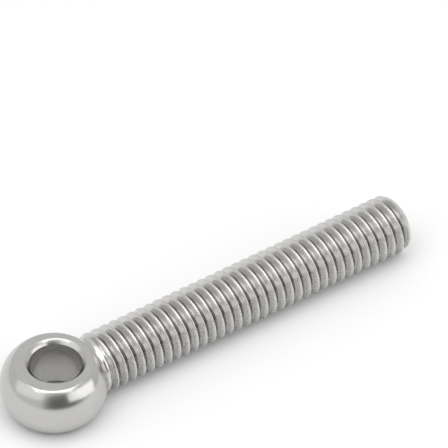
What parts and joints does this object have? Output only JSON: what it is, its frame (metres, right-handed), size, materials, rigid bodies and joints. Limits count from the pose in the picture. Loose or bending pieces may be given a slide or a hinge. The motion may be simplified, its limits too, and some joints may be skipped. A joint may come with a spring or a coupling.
{
  "type": "eye bolt",
  "caption": "One-piece ball-eye bolt: flat-sided round eye with a chamfered cross hole, on a fully threaded shank with a chamfered end.",
  "frame": {"origin": "centre of the eye's bore, half way between the eye's two flats", "axes": "+Z along the bore's axis, square to the flats; +X along the shank, from the eye to the threaded end"},
  "size_m": [0.0446, 0.0102, 0.006],
  "materials": {
    "stainless_steel": "satin, bright on the thread crests"
  },
  "bodies": {
    "root": {"eye_bolt": "stainless_steel"}
  },
  "joints": []
}
